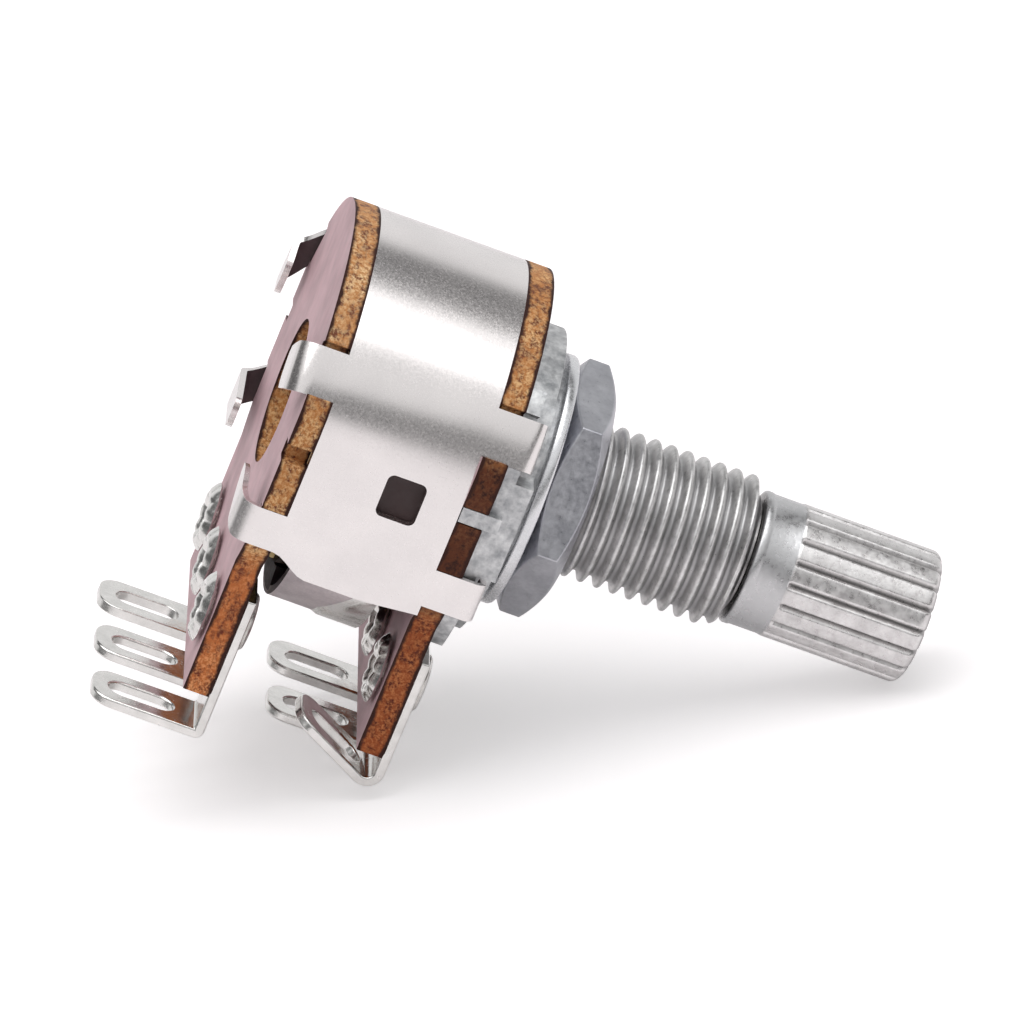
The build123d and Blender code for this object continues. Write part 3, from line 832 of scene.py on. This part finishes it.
def evenLines(marks):
    # the marks with even steps of about a cell between them
    lines = []
    for a, b in zip(marks, marks[1:]):
        lines += steps(a, b, max(1, round((b - a) / case["cell"])))[:-1]
    return lines + [marks[-1]]


def sheetVert(bm, made, s, x):
    key = (round(s, 5), round(x, 5))
    if key not in made:
        (y, z), _ = onOutline(s + bottomShift(s, x), x)
        made[key] = bm.verts.new((x * mm, y * mm, z * mm))
    return made[key]


def fillWall(bm, made, sLines, xLines):
    (s2, s3), (x2, x3) = blank["windowS"], blank["windowX"]
    for s0, s1 in zip(sLines, sLines[1:]):
        for x0, x1 in zip(xLines, xLines[1:]):
            if s2 < abs((s0 + s1) / 2) < s3 and x2 < (x0 + x1) / 2 < x3:
                continue
            corners = ((s0, x0), (s0, x1), (s1, x1), (s1, x0))
            bm.faces.new([sheetVert(bm, made, s, x) for s, x in corners])


def roundWindows(bm, made):
    # fills the windows' corners round their arcs
    corner = case["window"][4]
    (s0, s1), (x0, x1) = blank["windowS"], blank["windowX"]
    for side in (-1, 1):
        for sHere, sDir in ((s0, 1), (s1, -1)):
            for xHere, xDir in ((x0, 1), (x1, -1)):
                ring = [(sHere, xHere)]
                for a in steps(90, 0, 6):
                    t = math.radians(a)
                    s = sHere + sDir * corner * (1 - math.sin(t))
                    ring.append((s, xHere + xDir * corner * (1 - math.cos(t))))
                bm.faces.new([sheetVert(bm, made, side * s, x) for s, x in ring])


def foldedRun(w, tab):
    # how far a tab has run past the case and inward after a length w
    radius, full = tab["radius"], math.radians(tab["angle"])
    straight = tab["stand"] - radius
    if w <= straight:
        return w, 0.0
    a = (w - straight) / radius
    if a <= full:
        return straight + radius * math.sin(a), radius * (1 - math.cos(a))
    rest = w - straight - radius * full
    return (
        straight + radius * math.sin(full) + rest * math.cos(full),
        radius * (1 - math.cos(full)) + rest * math.sin(full),
    )


def tabLength(tab):
    radius, full = tab["radius"], math.radians(tab["angle"])
    inner = max(0.0, tab["reach"] - radius * (1 - math.cos(full)))
    return tab["stand"] - radius + radius * full + inner / max(0.2, math.sin(full))


def tabPoint(tab, side, s, w, total, middle, half, edgeX, way):
    # a point of a folded tab, and how much of the sheet's weight is left there
    horn = tab["tip"] < hornTip
    across = abs((s - middle) / half)
    bent = clamp((w - tab["stand"]) / (total - tab["stand"]))
    rounded = 0.0 if horn else 0.3 * max(0.0, (w / total - 0.8) / 0.2)
    run, inward = foldedRun(w - rounded * across ** 3, tab)
    slip = tab["lean"] * eased(clamp((w - 0.75) / 1.2)) if side > 0 else 0.0
    drift = tab["lean"] * max(0.0, inward - 0.3) if side < 0 else 0.0
    narrow = 1.0 - (1.0 - tab["tip"]) * bent * (bent * bent if horn else across)
    moved = side * (middle + slip + (s - middle) * narrow)
    (y, z), _ = onOutline(moved + bottomShift(moved, edgeX), edgeX)
    _, out = onOutline(side * middle, edgeX)
    spot = ((edgeX + way * run) * mm, (y - out[0] * inward) * mm, (z - out[1] * inward + drift) * mm)
    return spot, case["tabSheet"] * (1.0 - 0.45 * bent if horn else 1.0)


def foldTabs(bm, made, sLines, table, edgeX, way, lower):
    # hangs the folded tabs on one end of the wall and returns their points with the weight of each
    folded = []
    for (level, side), tab in table.items():
        lo, hi = blank["upper"] if level == "upper" else lower
        columns = [s for s in sLines if lo - 1e-4 <= s <= hi + 1e-4]
        total = tabLength(tab)
        grid = [[sheetVert(bm, made, side * s, edgeX) for s in columns]]
        for w in steps(0, total, max(8, round(total / case["tabCell"])))[1:]:
            line = []
            for s in columns:
                spot, weight = tabPoint(tab, side, s, w, total, (lo + hi) / 2, (hi - lo) / 2, edgeX, way)
                line.append(bm.verts.new(spot))
                folded.append((line[-1], weight))
            grid.append(line)
        for a, b in zip(grid, grid[1:]):
            for k in range(len(columns) - 1):
                bm.faces.new((a[k], a[k + 1], b[k + 1], b[k]))
    return folded


def sheetCase():
    c = case
    corner = c["window"][4]
    (s0, s1), (x0, x1) = blank["windowS"], blank["windowX"]
    marks = [0.0, *blank["upper"], *blank["rearLower"], *blank["frontLower"]]
    marks += [s0, s0 + corner, s1 - corner, s1, lengthAtZ(c["rearLowZ"]), blank["end"]]
    sLines = evenLines(sorted(set(round(m, 5) for m in marks)))
    xLines = evenLines([c["rearX"], x0, x0 + corner, x1 - corner, x1, c["frontX"]])
    bm = bmesh.new()
    made = {}
    fillWall(bm, made, [-s for s in reversed(sLines[1:])] + sLines, xLines)
    roundWindows(bm, made)
    folded = foldTabs(bm, made, sLines, rearTabs, c["rearX"], -1, blank["rearLower"])
    folded += foldTabs(bm, made, sLines, frontTabs, c["frontX"], 1, blank["frontLower"])
    bmesh.ops.recalc_face_normals(bm, faces=bm.faces)
    top = max(bm.faces, key=lambda f: f.calc_center_median().z)
    if top.normal.z < 0:
        bmesh.ops.reverse_faces(bm, faces=bm.faces)
    bm.verts.index_update()
    weights = [(v.index, weight) for v, weight in folded]
    obj = newPiece("sheetCase", bm, caseTin, caseShadeInside, sharp=60)
    full = obj.vertex_groups.new(name="fullSheet")
    full.add(range(len(obj.data.vertices)), 1.0, "REPLACE")
    for index, weight in weights:
        full.add([index], weight, "REPLACE")
    thick = obj.modifiers.new("sheet", "SOLIDIFY")
    thick.vertex_group = "fullSheet"
    thick.thickness_vertex_group = c["thinnest"]
    # the inner shell takes the painted shade of the case's inside
    thick.material_offset = 1
    thick.thickness = c["sheet"] * mm
    thick.offset = -1
    thick.use_even_offset = False
    roundEdges(obj, c["edge"], 2, 50)
    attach(obj, "housing")
    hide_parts("case")


sheetCase()
print("case done")


# fibre wafers, painted mauve on their rear faces, and solder lugs with softened edges
waferEdge = 0.05  # mm
lugEdge = 0.12


def wafer(node, name, fibre):
    bm = copySolid(node)
    for face in bm.faces:
        face.normal_update()
        face.material_index = 1 if face.normal.x < -0.9 else 0
    obj = newPiece(name, bm, fibre, mauvePaint)
    roundEdges(obj, waferEdge, 2)
    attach(obj, "housing")
    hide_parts(node)


wafer("front_wafer", "frontWafer", frontFibre)
wafer("rear_wafer", "rearWafer", rearFibre)
for gang in ("front", "rear"):
    for k in (1, 2, 3):
        node = f"{gang}_lug_{k}"
        lug = newPiece(f"{gang}Lug{k}", copySolid(node), lugTin)
        roundEdges(lug, lugEdge, 3)
        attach(lug, "housing")
        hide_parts(node)
print("wafers and lugs done")


# strap: a curved sheet under the separator, brushed behind a slanting crease and flared in front of it
strap = {
    "innerR": 8.02,
    "outerR": 8.42,
    "halfDeg": 61.0,
    "rearX": -8.7,
    "frontX": -4.65,
    "crease": (-5.6, -5.26, 0.62, -6.7),  # its x at a height z, its slant, and the x where it stops
    "bend": 0.3,
    "flare": 0.12,
    "plainX": -6.75,  # faces in front of this are not brushed
}


def strapSheet():
    c = strap
    creaseX, creaseZ, slant, least = c["crease"]
    bm = bmesh.new()
    rows = []
    for deg in steps(-c["halfDeg"], c["halfDeg"], 40):
        a = math.radians(deg)
        crease = max(least, creaseX + (-c["outerR"] * math.cos(a) - creaseZ) * slant)
        places = ((c["rearX"], 0.0), (c["rearX"] + 0.35, 0.0), (crease, 0.0))
        places += ((crease + c["bend"], c["flare"]), (c["frontX"], c["flare"]))
        sheet = []
        for r in (c["innerR"], c["outerR"]):
            line = []
            for x, out in places:
                far = (r + out) * mm
                line.append(bm.verts.new((x * mm, far * math.sin(a), -far * math.cos(a))))
            sheet.append(line)
        rows.append(sheet[0] + sheet[1][::-1])
    count = len(rows[0])
    for a, b in zip(rows, rows[1:]):
        for k in range(count):
            n = (k + 1) % count
            face = bm.faces.new((a[k], a[n], b[n], b[k]))
            ahead = min(a[k].co.x, a[n].co.x) > c["plainX"] * mm
            face.material_index = 1 if ahead and 2 <= k <= 6 else 0
    bm.faces.new(rows[0])
    bm.faces.new(rows[-1][::-1])
    bmesh.ops.recalc_face_normals(bm, faces=bm.faces)
    obj = newPiece("strapSheet", bm, brushedTin, lugTin)
    roundEdges(obj, 0.08, 2, 60)
    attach(obj, "housing")
    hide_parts("strap")


strapSheet()


# rivets: hollow barrels, rolled on the lug and spread in flutes behind the wafer
crown = {
    "flutes": 9,
    "innerR": 0.6,
    "outerR": 1.55,
    "rise": 0.5,
    "flange": 0.45,  # from the CAD rivet's rear end to the board
    "stand": 0.03,  # the crown's root over the board
    "sheet": 0.13,
    "barrel": (0.56, 0.94),  # bore and outer radius
    "bead": 1.29,  # radius of the roll on the lug
}


def crownTree():
    # a fluted flare round a hollow rivet, drawn from a flat grid: one side runs round, the other outward
    numbers = ("Flutes", "Inner Radius", "Outer Radius", "Rise", "Seed")
    tree, entry, leave = newTree("flutedCrown", numbers)
    w = Wires(tree)
    grid = w.node("GeometryNodeMeshGrid")
    grid.inputs["Size X"].default_value = 1.0
    grid.inputs["Size Y"].default_value = 1.0
    grid.inputs["Vertices X"].default_value = 12
    grid.inputs["Vertices Y"].default_value = 109
    gridX, gridY, _ = w.place()
    along = w.calc("ADD", gridX, 0.5)
    turn = w.calc("MULTIPLY", gridY, 2 * math.pi)
    sine, cosine = w.calc("SINE", turn), w.calc("COSINE", turn)
    halfFlutes = w.calc("DIVIDE", entry.outputs["Flutes"], 2.0)
    wave = w.calc("ABSOLUTE", w.calc("SINE", w.calc("MULTIPLY", turn, halfFlutes)))
    uneven = w.node("ShaderNodeTexNoise")
    uneven.noise_dimensions = "4D"
    uneven.inputs["Scale"].default_value = 1.6
    ring = w.node("ShaderNodeCombineXYZ")
    w.link(cosine, ring.inputs[0])
    w.link(sine, ring.inputs[1])
    w.link(ring.outputs[0], uneven.inputs["Vector"])
    w.link(entry.outputs["Seed"], uneven.inputs["W"])
    vary = w.calc("ADD", 0.84, w.calc("MULTIPLY", uneven.outputs["Fac"], 0.32))  # no two alike
    reach = w.calc("SUBTRACT", entry.outputs["Outer Radius"], entry.outputs["Inner Radius"])
    # shallow notches between the flutes
    notch = w.calc("MULTIPLY", w.calc("SUBTRACT", 1.0, wave), w.calc("MULTIPLY", along, 0.08))
    scalloped = w.calc("MULTIPLY", reach, w.calc("SUBTRACT", 1.0, notch))
    spread = w.calc("MULTIPLY", scalloped, w.calc("POWER", along, 1.3))
    radius = w.calc("ADD", entry.outputs["Inner Radius"], spread)
    roll = w.calc("SINE", w.calc("MULTIPLY", along, 2.75))  # up, then back down to the board
    crest = w.calc("ADD", 0.86, w.calc("MULTIPLY", wave, 0.14))
    share = w.calc("MULTIPLY", roll, w.calc("MULTIPLY", crest, vary))
    x = w.calc("MULTIPLY", w.calc("MULTIPLY", share, entry.outputs["Rise"]), -1.0)
    y, z = w.calc("MULTIPLY", radius, sine), w.calc("MULTIPLY", radius, cosine)
    shape = w.moveTo(grid.outputs["Mesh"], x, y, z)
    seam = w.node("GeometryNodeMergeByDistance")
    seam.inputs["Distance"].default_value = 0.000001
    w.link(shape, seam.inputs["Geometry"])
    move = w.node("GeometryNodeTransform")
    w.link(seam.outputs[0], move.inputs["Geometry"])
    w.link(entry.outputs["Place"], move.inputs["Translation"])
    w.finish(move.outputs[0], entry, leave)
    return tree


flutedCrown = crownTree()


def hollowRivet(node, seed):
    c = crown
    points = [v.co / mm for v in cadNodes[node].data.vertices]
    low = [min(p[i] for p in points) for i in range(3)]
    high = [max(p[i] for p in points) for i in range(3)]
    face, tail = low[0] + c["flange"], high[0]
    y, z = (low[1] + high[1]) / 2, (low[2] + high[2]) / 2
    flare = newPiece("flare", bmesh.new(), lugTin)
    mod = flare.modifiers.new("flutedCrown", "NODES")
    mod.node_group = flutedCrown
    setInputs(mod, {
        "Flutes": float(c["flutes"]),
        "Inner Radius": c["innerR"] * mm,
        "Outer Radius": c["outerR"] * mm,
        "Rise": c["rise"] * mm,
        "Place": ((face - c["stand"]) * mm, 0.0, 0.0),
        "Seed": float(seed),
        "Material": lugTin,
    })
    thick = flare.modifiers.new("sheet", "SOLIDIFY")
    thick.thickness = c["sheet"] * mm
    thick.offset = 0
    plainMesh(flare)
    bore, outer = c["barrel"]
    bead = c["bead"]
    profile = [
        (face - 0.14, bore), (face - 0.14, bore + 0.14), (face - 0.06, bore + 0.24), (face - 0.02, outer),
        (face + 0.02, outer + 0.02), (face + 0.04, outer), (tail - 0.28, outer), (tail - 0.26, bead - 0.07),
        (tail - 0.14, bead), (tail - 0.04, bead - 0.09), (tail, bead - 0.29), (tail - 0.03, bore + 0.19),
        (tail - 0.16, bore + 0.02), (tail - 0.3, bore),
    ]
    bm = bmesh.new()
    addLathe(bm, profile, 40, closed=True)
    bmesh.ops.recalc_face_normals(bm, faces=bm.faces)
    bm.from_mesh(flare.data)
    bpy.data.objects.remove(flare)
    bmesh.ops.translate(bm, vec=Vector((0, y, z)) * mm, verts=bm.verts)
    rivet = newPiece(node + "Split", bm, lugTin, sharp=50)
    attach(rivet, "housing")
    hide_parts(node)


for gang, seed in (("front", 3), ("rear", 11)):
    for k in (1, 2, 3):
        hollowRivet(f"{gang}_rivet_{k}", seed + 5 * k)
print("strap and rivets done")


# pieces whose shape stays: only their finish is set
finishes = {
    "front_track": carbonFilm,
    "rear_track": carbonFilm,
    "front_collector": silverFilm,
    "rear_collector": silverFilm,
    "front_rotor": rotorPlastic,
    "rear_rotor": rotorPlastic,
    "front_wiper": springBrass,
    "rear_wiper": springBrass,
    "separator": separatorPlastic,
    "retaining_clip": clipSteel,
}
for node, mat in finishes.items():
    for slotHere in cadNodes[node].material_slots:
        slotHere.material = mat
print("hidden pieces finished")


# floor under the front lugs' heels and the shaft's tip
floorLook = {
    "slope": (10.75, 19.85),  # rise and run from the heels to the tip
    "point": (-1.5, 0, -13.78),  # mm
    "halfSize": 0.6,
    "colour": (0.92, 0.89, 0.9),
    "cameraGlow": 0.38,  # lifts the floor to white where the camera sees it
    "glossyGlow": 0.13,
}
floorAngle = math.atan2(*floorLook["slope"])
floorUp = Vector((-math.sin(floorAngle), 0, math.cos(floorAngle)))
towardCamera = (back - floorUp * back.dot(floorUp)).normalized()
acrossFloor = towardCamera.cross(floorUp)


def floorPaint():
    # diffuse with a glow in front, see-through from below
    look = floorLook
    mat = bpy.data.materials.new("paleFloor")
    mat.use_nodes = True
    tree = mat.node_tree
    tree.nodes.clear()
    out = tree.nodes.new("ShaderNodeOutputMaterial")
    paint = tree.nodes.new("ShaderNodeBsdfDiffuse")
    paint.inputs["Color"].default_value = (*look["colour"], 1)
    glow = tree.nodes.new("ShaderNodeEmission")
    glow.inputs["Color"].default_value = (1, 1, 1, 1)
    ray = tree.nodes.new("ShaderNodeLightPath")
    seen = addMath(tree, "MULTIPLY", ray.outputs["Is Camera Ray"], look["cameraGlow"])
    mirrored = addMath(tree, "MULTIPLY", ray.outputs["Is Glossy Ray"], look["glossyGlow"])
    tree.links.new(addMath(tree, "ADD", seen, mirrored), glow.inputs["Strength"])
    lift = tree.nodes.new("ShaderNodeAddShader")
    oneSided = tree.nodes.new("ShaderNodeMixShader")
    facing = tree.nodes.new("ShaderNodeNewGeometry")
    clear = tree.nodes.new("ShaderNodeBsdfTransparent")
    tree.links.new(paint.outputs[0], lift.inputs[0])
    tree.links.new(glow.outputs[0], lift.inputs[1])
    tree.links.new(facing.outputs["Backfacing"], oneSided.inputs[0])
    tree.links.new(lift.outputs[0], oneSided.inputs[1])
    tree.links.new(clear.outputs[0], oneSided.inputs[2])
    tree.links.new(oneSided.outputs[0], out.inputs["Surface"])
    return mat


def makeFloor():
    size = floorLook["halfSize"]
    point = Vector(floorLook["point"]) * mm
    bm = bmesh.new()
    corners = []
    for a, b in ((-1, -1), (1, -1), (1, 1), (-1, 1)):
        corners.append(bm.verts.new(point + towardCamera * a * size + acrossFloor * b * size))
    face = bm.faces.new(corners)
    face.normal_update()
    if face.normal.dot(floorUp) < 0:
        face.normal_flip()
    newPiece("paleFloor", bm, floorPaint())


makeFloor()


# studio: a white room seen by the camera, with darker zones for the metal to mirror, and one soft panel
studio = {
    "ambient": 0.54,
    "panel": {"high": 0.44, "front": 0.04, "width": 0.5, "height": 0.58, "strength": 1.35},
    "zones": {  # what is left of the white, and fades in directions from the part: (direction, none, full)
        "nearCamera": (0.28, [("up", -0.06, 0.02), ("up", 0.36, 0.28), ("front", -0.35, -0.1)]),
        "overhead": (0.2, [("up", 0.52, 0.62), ("front", -0.02, -0.2)]),
        "left": (0.15, [("up", 0.2, 0.3), ("up", 0.75, 0.65), ("left", 0.6, 0.75)]),
    },
}


def makeWorld():
    world = bpy.data.worlds.new("studioRoom")
    scene.world = world
    world.use_nodes = True
    tree = world.node_tree
    tree.nodes.clear()
    out = tree.nodes.new("ShaderNodeOutputWorld")
    sky = tree.nodes.new("ShaderNodeBackground")
    tree.links.new(sky.outputs[0], out.inputs["Surface"])
    coord = tree.nodes.new("ShaderNodeTexCoord").outputs["Generated"]
    leftward = acrossFloor if acrossFloor.x < 0 else -acrossFloor
    toward = {}
    for name, axis in (("up", floorUp), ("front", towardCamera), ("left", leftward)):
        dot = tree.nodes.new("ShaderNodeVectorMath")
        dot.operation = "DOT_PRODUCT"
        tree.links.new(coord, dot.inputs[0])
        dot.inputs[1].default_value = tuple(axis)
        toward[name] = dot.outputs["Value"]
    shade = 0.0
    for left, fades in studio["zones"].values():
        zone = 1 - left
        for name, none, full in fades:
            zone = addMath(tree, "MULTIPLY", addRange(tree, toward[name], none, full, 0, 1), zone)
        shade = addMath(tree, "MAXIMUM", shade, zone)
    ray = tree.nodes.new("ShaderNodeLightPath")
    glossy = ray.outputs["Is Glossy Ray"]
    white = addMath(tree, "MAXIMUM", ray.outputs["Is Camera Ray"], ray.outputs["Is Transmission Ray"])
    mirrored = addMath(tree, "MULTIPLY", glossy, addMath(tree, "SUBTRACT", 1.0, shade))
    rest = addMath(tree, "MULTIPLY", addMath(tree, "SUBTRACT", 1.0, glossy), studio["ambient"])
    strength = addMath(tree, "MAXIMUM", white, addMath(tree, "ADD", mirrored, rest))
    tree.links.new(strength, sky.inputs["Strength"])


makeWorld()


def softPanel():
    # over the part, placed on floor directions in metres and facing it
    p = studio["panel"]
    data = bpy.data.lights.new("keyPanel", "AREA")
    data.shape = "RECTANGLE"
    data.size = p["width"]
    data.size_y = p["height"]
    data.energy = p["strength"]
    data.spread = math.radians(180)
    lamp = bpy.data.objects.new("keyPanel", data)
    scene.collection.objects.link(lamp)
    place = floorUp * p["high"] + towardCamera * p["front"]
    lamp.rotation_mode = "QUATERNION"
    lamp.rotation_quaternion = (-place).to_track_quat("-Z", "Y")
    lamp.location = place


softPanel()
print("stage and lights done")
